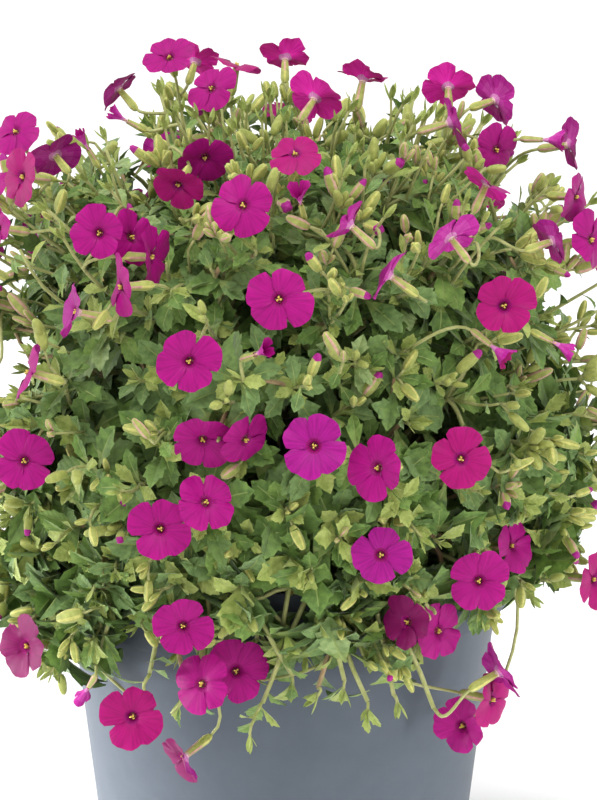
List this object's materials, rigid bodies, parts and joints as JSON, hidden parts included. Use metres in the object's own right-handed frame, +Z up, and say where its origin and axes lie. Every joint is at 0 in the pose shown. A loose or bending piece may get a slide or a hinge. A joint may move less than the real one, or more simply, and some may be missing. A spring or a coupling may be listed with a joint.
{
  "type": "potted aubrieta",
  "caption": "Mound-forming rock cress in flower, with toothed leaves and four-petalled magenta blooms, in a tapered plastic pot.",
  "frame": {"origin": "centre of the pot's flat underside", "axes": "+Z up the pot's axis, -Y towards the side seen in the picture, +X to that side's right"},
  "size_m": [0.188, 0.1865, 0.2384],
  "materials": {
    "pot_plastic": "satin, blue-grey moulded plastic",
    "compost": "rough, moist dark brown compost",
    "bark": "fine ridged bark on woody stems, green-brown",
    "foliage": "matte, finely hairy leaves and green stems",
    "petals": "soft satin magenta petals"
  },
  "bodies": {
    "root": {"compost": "compost", "outer_1_bough": "bark", "outer_1_foliage": "foliage", "outer_2_bough": "bark", "outer_2_foliage": "foliage", "outer_3_bough": "bark", "outer_3_foliage": "foliage", "outer_4_bough": "bark", "outer_4_foliage": "foliage", "outer_5_bough": "bark", "outer_5_foliage": "foliage", "outer_6_bough": "bark", "outer_6_foliage": "foliage", "outer_7_bough": "bark", "outer_7_foliage": "foliage", "outer_8_bough": "bark", "outer_8_foliage": "foliage", "pot": "pot_plastic", "top_bough": "bark", "top_foliage": "foliage", "upper_1_bough": "bark", "upper_1_foliage": "foliage", "upper_2_bough": "bark", "upper_2_foliage": "foliage", "upper_3_bough": "bark", "upper_3_foliage": "foliage", "upper_4_bough": "bark", "upper_4_foliage": "foliage", "upper_5_bough": "bark", "upper_5_foliage": "foliage", "woody_stem": "bark"}
  },
  "joints": []
}
